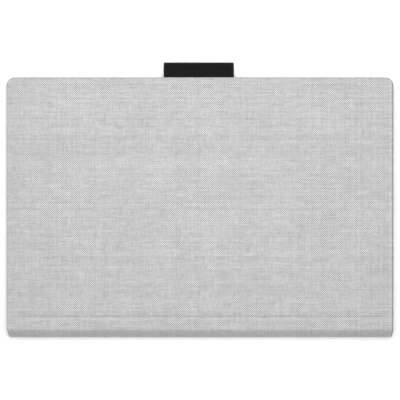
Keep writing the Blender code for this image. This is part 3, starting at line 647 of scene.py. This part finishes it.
finishes = {
    "lining_grey": grainFinish("microfibre", {"colour": (0.16, 0.16, 0.165), "rough": 0.95, "grain": 5200.0,
                                              "relief": 0.08 * mm, "speckle": 0.5, "gloss": 0.1}),
    "board_black": grainFinish("fibreboard", {"colour": (0.035, 0.034, 0.033), "rough": 0.9, "grain": 1900.0,
                                              "relief": 0.05 * mm, "speckle": 0.8, "gloss": 0.2}),
    "tray_grey": grainFinish("moulded_grey", {"colour": (0.50, 0.503, 0.507), "rough": 0.55, "grain": 4200.0,
                                              "relief": 0.012 * mm}),
    "key_grey": grainFinish("key_plastic", {"colour": (0.060, 0.062, 0.066), "rough": 0.48, "grain": 5200.0,
                                            "relief": 0.010 * mm}),
    "deck_grey": grainFinish("soft_deck", {"colour": (0.115, 0.118, 0.123), "rough": 0.62, "grain": 4600.0,
                                           "relief": 0.014 * mm, "speckle": 0.25}),
    "steel": brushedFinish("steel", (0.56, 0.56, 0.57), 0.32, (9000, 300, 300)),
    "kick_alloy": brushedFinish("kickstand_alloy", (0.46, 0.465, 0.475), 0.36, (120, 7000, 7000)),
    "gold": brushedFinish("contact_gold", (0.92, 0.66, 0.28), 0.22, (4000, 4000, 900)),
    "film": grainFinish("switch_film", {"colour": (0.52, 0.54, 0.55), "rough": 0.3, "grain": 900.0,
                                        "relief": 0.01 * mm}),
    "rubber": grainFinish("dome_rubber", {"colour": (0.40, 0.41, 0.42), "rough": 0.7, "grain": 2600.0,
                                          "relief": 0.02 * mm, "gloss": 0.3}),
    "loop_black": grainFinish("housing_black", {"colour": (0.02, 0.02, 0.021), "rough": 0.5, "grain": 4000.0,
                                                "relief": 0.012 * mm}),
    "board_green": boardFinish("circuit_board"),
    "cable_amber": cableFinish("flat_cable"),
    "lens_white": grainFinish("lamp_lens", {"colour": (0.80, 0.82, 0.84), "rough": 0.2, "grain": 3000.0,
                                            "relief": 0.004 * mm}),
}


# A copy of a CAD part with its edges softened: its triangles are merged, flat faces made whole,
# and a bevel is left live on the sharp edges.
def softened(node, finish, width, segments=2, cloth=False):
    source = frame["nodes"][node]
    mesh = source.data.copy()
    work = bmesh.new()
    work.from_mesh(mesh)
    bmesh.ops.remove_doubles(work, verts=work.verts, dist=1e-6)
    bmesh.ops.dissolve_limit(work, angle_limit=math.radians(1), verts=work.verts, edges=work.edges)
    work.to_mesh(mesh)
    work.free()
    mesh.materials.clear()
    mesh.materials.append(finish)
    mesh.shade_smooth()
    piece = bpy.data.objects.new(node + "_finished", mesh)
    bpy.context.collection.objects.link(piece)
    if cloth:
        corner = np.empty(len(mesh.loops), np.int32)
        mesh.loops.foreach_get("vertex_index", corner)
        place = np.empty(len(mesh.vertices) * 3, np.float32)
        mesh.vertices.foreach_get("co", place)
        place = place.reshape(-1, 3)
        flat = np.stack([place[:, 0] + place[:, 2], place[:, 1] + place[:, 2]], axis=1)
        layer = mesh.uv_layers.new(name="cloth")
        layer.uv.foreach_set("vector", flat[corner].ravel())
    bevel = piece.modifiers.new("edges", "BEVEL")
    bevel.width, bevel.segments = width, segments
    bevel.limit_method, bevel.angle_limit = "ANGLE", math.radians(40)
    bevel.harden_normals = True
    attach(piece, bodyOf[node])
    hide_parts(node)
    return piece


softNodes = {       # how far each part's edges are rounded
    "tray_shell": 0.25 * mm, "keyboard_base": 0.30 * mm, "deck_frame": 0.10 * mm, "kickstand_plate": 0.20 * mm,
    "pogo_housing": 0.15 * mm, "touchpad": 0.20 * mm, "hinge_leaf_fixed_left": 0.10 * mm,
    "hinge_leaf_fixed_right": 0.10 * mm, "hinge_leaf_moving_left": 0.10 * mm, "hinge_leaf_moving_right": 0.10 * mm,
    "kickstand_magnet": 0.12 * mm, "touchpad_switch": 0.15 * mm, "cover_magnet_left": 0.12 * mm,
    "cover_magnet_right": 0.12 * mm, "indicator_lens": 0.10 * mm,
}
slotOf = {s["node"]: s["material_slot"] for s in frame["record"]["subparts"]}
for node, width in softNodes.items():
    softened(node, finishes[slotOf[node]], width)
gluedCloth = {      # the stuff, how far its edges are rounded, and what it is glued to
    "rear_fabric_upper": (greyWeave, 0.25 * mm, "rear_board_upper"),
    "kickstand_fabric": (greyWeave, 0.25 * mm, "kickstand_plate_finished"),
    "tray_lining": (finishes["lining_grey"], 0.08 * mm, "tray_shell_finished"),
}
for node, (stuff, width, under) in gluedCloth.items():
    piece = softened(node, stuff, width, 3, cloth=True)
print("hard parts done")


# The layers inside the spine follow the same section, further in.
innerSpine = {
    "spine_lining": {"depth": 1.0 * mm, "thick": 0.4 * mm, "half": 123.5 * mm, "finish": "lining_grey",
                     "last": -73.6 * mm},
    "flex_cable": {"depth": 0.7 * mm, "thick": 0.2 * mm, "half": 12 * mm, "finish": "cable_amber",
                   "last": -72.8 * mm},
}


def creaseLine(depth, last):
    y = np.linspace(crease["low"], last, 30)
    return np.stack([y, frontHigh[2] - depth - grooveDepth(y), 0 * y, 0 * y + 1, y], axis=1)


def innerLayers():
    first, second = math.radians(31), spine["seams"][1]
    roll = 0.1 * mm
    for name, layer in innerSpine.items():
        depth = layer["depth"]
        parts = [
            ("middle", sectionPart(first, second, depth), "spine_a", "spine_b",
             foldSpan(spine["folds"][1], 4.6 * mm), ["a", "b"]),
            ("front", sectionPart(second, 9, depth), "spine_b", "spine_c",
             foldSpan(spine["folds"][2], 2.7 * mm), ["c"]),
            ("crease", creaseLine(depth, layer["last"]), "spine_c", "cover",
             ((0, crease["turn"][0], frontHigh[2]), (0, crease["turn"][1], frontHigh[2])), []),
        ]
        for part, line, a, b, span, nodes in parts:
            piece = spineSheet(name + "_" + part, line, layer["half"], roll, roll, layer["thick"],
                               finishes[layer["finish"]], middle=40)
            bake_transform(piece)
            if nodes:
                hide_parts(*[name + "_" + n for n in nodes])
                if layer["finish"] == "lining_grey":
                    abs(line[-1, 4] - line[0, 4])
                    "spine_skin_" + part


innerLayers()


# The keyboard's rows from the spine outwards: the CAD node, the width in keys, and what is
# printed on each cap. An arrow row is half as deep as the others.
keyRows = [
    [("keys_function", 1, k) for k in ["esc", *(f"F{n}" for n in range(1, 13)), "del"]],
    [("keys_number", 1, k) for k in "`1234567890-="] + [("key_backspace", 1, "back")],
    [("key_tab", 1.25, "tab")] + [("keys_upper", 1, k) for k in "QWERTYUIOP[]"] + [("keys_upper", 0.75, "|")],
    [("key_caps", 1.5, "caps")] + [("keys_home", 1, k) for k in "ASDFGHJKL;'"] + [("key_enter", 1.5, "enter")],
    [("key_shift_left", 2, "shift")] + [("keys_lower", 1, k) for k in "ZXCVBNM,./"]
    + [("key_shift_right", 2, "shift")],
    [("keys_bottom_left", 1, k) for k in ("ctrl", "fn", "alt", "cmd")] + [("key_space", 5, "")]
    + [("keys_bottom_right", 1, k) for k in ("alt", "lang")],
]
keyLook = {
    "pitch": 17.0 * mm, "start": -119.0 * mm, "gap": 2.6 * mm, "flange": 0.5 * mm,
    "corner": 1.5 * mm, "edge": 0.32 * mm, "dish": 0.07 * mm, "taper": 0.10 * mm,
    "letter": 3.9 * mm, "word": 2.3 * mm,
}


# One keycap as a stack of rounded rectangles: the skirt, which draws in by the taper, the edge
# rolled over on a quarter circle, and the face dished as 1 - r squared towards its middle.
def capRings(low, high, face, back):
    turn = np.radians(np.arange(0, 90.1, 22.5))
    quarter = np.stack([np.cos(turn), np.sin(turn)], axis=1)
    outline = np.concatenate([quarter @ np.array([[c, s], [-s, c]]) for c, s in ((1, 0), (0, 1), (-1, 0), (0, -1))])
    signs = np.repeat([[1, 1], [-1, 1], [-1, -1], [1, -1]], len(turn), axis=0)
    middle, half = (np.array(low) + high) / 2, (np.array(high) - low) / 2
    roll = np.radians((0, 30, 60, 90))
    insets = np.append(0, keyLook["taper"] + keyLook["edge"] * (1 - np.cos(roll)))
    depths = np.append(back - face, keyLook["edge"] * (1 - np.sin(roll)))
    rings = []
    for inset, depth in zip(insets, depths):
        corner = keyLook["corner"] - inset
        rings.append(np.column_stack([middle + signs * (half - inset - corner) + outline * corner,
                                      np.full(len(outline), face + depth)]))
    rim = rings[-1][:, :2]
    for share in (0.8, 0.55, 0.3):
        rings.append(np.column_stack([middle + (rim - middle) * share,
                                      np.full(len(rim), face + keyLook["dish"] * (1 - share ** 2))]))
    return rings


def capPlaces():
    caps = []
    for row in keyRows:
        x = keyLook["start"]
        for node, units, legend in row:
            low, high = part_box(node)
            caps.append((node, legend, (x + keyLook["gap"] / 2, low[1] + keyLook["flange"]),
                         (x + units * keyLook["pitch"] - keyLook["gap"] / 2, high[1] - keyLook["flange"])))
            x += units * keyLook["pitch"]
    low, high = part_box("keys_arrow")
    middle = (low[1] + high[1]) / 2
    left = keyLook["start"] + 11 * keyLook["pitch"]
    for column, bottom, top, legend in ((0, middle, high[1], "<"), (1, middle, high[1], "v"),
                                        (2, middle, high[1], ">"), (1, low[1], middle, "^")):
        x = left + column * keyLook["pitch"]
        inner, outer = keyLook["gap"] / 2, keyLook["flange"]
        if bottom != middle:
            inner, outer = outer, inner
        caps.append(("keys_arrow", legend, (x + keyLook["gap"] / 2, bottom + inner),
                     (x + keyLook["pitch"] - keyLook["gap"] / 2, top - outer)))
    return caps


# A word as a flat mesh on the face of a key, read from below with the spine at the top.
def legendShape(text, size):
    curve = bpy.data.curves.new("word", "FONT")
    curve.body, curve.size, curve.align_x, curve.align_y = text, size, "CENTER", "CENTER"
    curve.resolution_u = 3
    holder = bpy.data.objects.new("word", curve)
    bpy.context.collection.objects.link(holder)
    bpy.context.view_layer.update()
    mesh = bpy.data.meshes.new_from_object(holder.evaluated_get(bpy.context.evaluated_depsgraph_get()))
    place = np.empty(len(mesh.vertices) * 3, np.float32)
    mesh.vertices.foreach_get("co", place)
    faces = [list(p.vertices) for p in mesh.polygons]
    bpy.data.objects.remove(holder)
    bpy.data.meshes.remove(mesh)
    return place.reshape(-1, 3) * (1, -1, -1), faces


def makeKeys():
    ink = grainFinish("legend_ink", {"colour": (0.72, 0.73, 0.74), "rough": 0.6, "grain": 9000.0,
                                     "relief": 0.004 * mm})
    groups = {}
    for node, legend, low, high in capPlaces():
        groups.setdefault(node, []).append((legend, low, high))
    for node, caps in groups.items():
        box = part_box(node)
        face = box[0][2]
        points, quads, fans, count = [], [], [], 0
        inkPoints, inkFaces, inkCount = [], [], 0
        for legend, low, high in caps:
            p, q, f = ringSolid(capRings(low, high, face, box[1][2]))
            points.append(p), quads.append(q + count), fans.append(f + count)
            count += len(p)
            if legend:
                small = min(1.0, (high[1] - low[1]) / (9 * mm))
                size = keyLook["letter" if len(legend) == 1 else "word"]
                shape, loops = legendShape(legend, size * small)
                shape = shape + ((low[0] + high[0]) / 2, (low[1] + high[1]) / 2, face + 0.01 * mm)
                inkPoints.append(shape)
                inkFaces += [[v + inkCount for v in loop] for loop in loops]
                inkCount += len(shape)
        piece = newPiece(node + "_caps", np.concatenate(points), [np.concatenate(quads), np.concatenate(fans)],
                         finishes["key_grey"])
        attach(piece, bodyOf[node])
        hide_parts(node)
        if inkPoints:
            mesh = bpy.data.meshes.new(node + "_legends")
            mesh.from_pydata(np.concatenate(inkPoints).tolist(), [], inkFaces)
            mesh.materials.append(ink)
            words = bpy.data.objects.new(node + "_legends", mesh)
            bpy.context.collection.objects.link(words)
            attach(words, bodyOf[node])


makeKeys()
print("keys done")

domeLook = {"foot": 2.2 * mm, "crown": 1.1 * mm, "sheet": 0.2 * mm, "kept": 0.27}


# The switch layer: a film with a rubber dome under the middle of every key. A dome is turned
# from a profile that flares at the foot and is round at the crown, with radius falling as a
# cosine of the height.
def makeDomes():
    low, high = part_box("dome_sheet")
    film = high[2] - domeLook["sheet"]
    corners = np.array([[low[0], low[1]], [high[0], low[1]], [high[0], high[1]], [low[0], high[1]]])
    points, quads, fans = ringSolid([np.column_stack([corners, np.full(4, z)]) for z in (film, high[2])])
    sheet = newPiece("dome_film", points, [quads, fans], finishes["rubber"])
    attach(sheet, "cover")
    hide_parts("dome_sheet")
    turn = np.linspace(0, 2 * math.pi, 16, endpoint=False)
    rise = np.linspace(0, 1, 7)
    radii = domeLook["crown"] + (domeLook["foot"] - domeLook["crown"]) * (1 - np.sin(rise * math.pi / 2))
    radii[-1] *= 0.6
    heights = film - (film - low[2]) * rise
    groups = {}
    for node, legend, a, b in capPlaces():
        groups.setdefault(node, []).append((np.array(a) + b) / 2)
    for node, middles in groups.items():
        points, quads, fans, count = [], [], [], 0
        for x, y in middles:
            rings = [np.column_stack([x + r * np.cos(turn), y + r * np.sin(turn), np.full(16, z)])
                     for r, z in zip(radii, heights)]
            p, q, f = ringSolid(rings)
            points.append(p), quads.append(q + count), fans.append(f + count)
            count += len(p)
        domes = newPiece(node + "_domes", np.concatenate(points), [np.concatenate(quads), np.concatenate(fans)],
                         finishes["rubber"])
        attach(domes, "cover")
        node + "_press"
        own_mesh(domes)


makeDomes()

# Every CAD part that still shows takes the finish of its own slot.
for node, part in frame["nodes"].items():
    if not part.hide_render:
        part.data.materials.clear()
        part.data.materials.append(finishes[slotOf[node]])
print("inside done")


studio = {
    "floor": (0.93, 0.93, 0.93),
    "viewWidth": 258.06 * mm,       # what the camera takes in across, at the height of the front face
    "lens": 120.0,
    "sensor": 36.0,
}


def stageFloor():
    finish = Finish("pale_floor", {"Base Color": studio["floor"], "Roughness": 0.9,
                                   "Emission Color": (1, 1, 1), "Emission Strength": 0.26})
    n = 24
    reach = along((-3, 3, n))
    x, y = np.meshgrid(reach, reach, indexing="ij")
    floor = newPiece("floor", np.stack([x, y, 0 * x - 0.3 * mm], axis=-1), [gridQuads(n + 1, n + 1)], finish.material)


def lamp(name, place, size, power, tilt):
    light = bpy.data.lights.new(name, "AREA")
    light.shape, light.size, light.size_y = "RECTANGLE", size[0], size[1]
    light.energy = power
    holder = bpy.data.objects.new(name, light)
    holder.location, holder.rotation_euler = place, [math.radians(a) for a in tilt]
    holder.visible_camera = False
    bpy.context.collection.objects.link(holder)


def photoCamera():
    eye = bpy.data.cameras.new("eye")
    eye.lens, eye.sensor_width = studio["lens"], studio["sensor"]
    holder = bpy.data.objects.new("eye", eye)
    distance = studio["viewWidth"] * studio["lens"] / studio["sensor"]
    holder.location = (0, 0, cadBounds[1][2] + distance)
    bpy.context.collection.objects.link(holder)
    bpy.context.scene.camera = holder


stageFloor()
lamp("softbox", (0.01, 0.075, 0.60), (0.30, 0.30), 3.12, (-5, 0, 0))
lamp("side_light", (-0.9, 0.35, 0.8), (0.5, 0.5), 1.22, (-17, -46, 0))
photoCamera()
world = bpy.data.worlds.new("studio_air")
world.use_nodes = True
world.node_tree.nodes["Background"].inputs["Color"].default_value = (1, 1, 1, 1)
world.node_tree.nodes["Background"].inputs["Strength"].default_value = 0.287
bpy.context.scene.world = world
bpy.context.scene.view_settings.view_transform = "Standard"
print("stage done")
